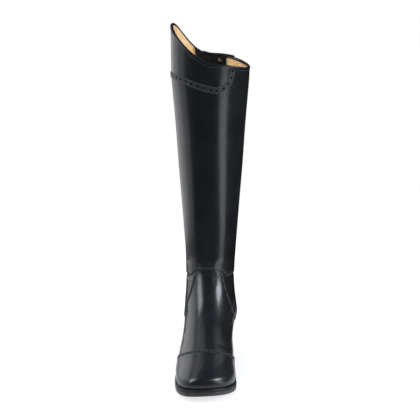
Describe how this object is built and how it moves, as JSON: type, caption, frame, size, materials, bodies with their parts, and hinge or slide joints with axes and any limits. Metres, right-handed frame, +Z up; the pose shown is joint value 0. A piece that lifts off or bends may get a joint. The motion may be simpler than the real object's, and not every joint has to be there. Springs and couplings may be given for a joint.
{
  "type": "dress riding boot",
  "caption": "Tall leather dress riding boot with a winged collar, punched collar band and toe cap, rear zip under a snap tab, and a stacked heel.",
  "frame": {"origin": "on the floor under the middle of the heel, at the flat underside of the heel's top lift", "axes": "-Y towards the toe, +X towards the inner side of the leg, +Z up the shaft"},
  "size_m": [0.1247, 0.3051, 0.5285],
  "materials": {
    "upper_leather": "smooth polished black calf",
    "lining_leather": "natural tan, fine grain",
    "elastic_black": "ribbed woven elastic",
    "zip_black": "woven tape and moulded teeth",
    "zip_metal": "dark polished metal",
    "welt_leather": "black dressed edge",
    "outsole_rubber": "black, satin edge",
    "heel_leather": "stacked lifts, black waxed edge"
  },
  "bodies": {
    "boot": {"upper": "upper_leather", "toe_cap": "upper_leather", "quarter": "upper_leather", "collar_band": "upper_leather", "collar_binding": "upper_leather", "snap_tab": "upper_leather", "insole": "lining_leather", "gore_outer": "elastic_black", "gore_inner": "elastic_black", "zip_guard": "elastic_black", "zip_tape": "zip_black", "zip_teeth": "zip_black", "zip_slider": "zip_metal", "snap_cap": "zip_metal", "snap_rivet": "zip_metal", "welt": "welt_leather", "outsole": "outsole_rubber", "heel_stack": "heel_leather", "heel_top_lift": "outsole_rubber"},
    "pull": {"zip_pull": "zip_metal"}
  },
  "joints": [
    {"name": "pull_swing", "type": "hinge", "parent": "boot", "child": "pull", "pos_m": [0, 0.05142, 0.4486], "axis": [1, 0, 0], "range_deg": [0, 150]}
  ]
}
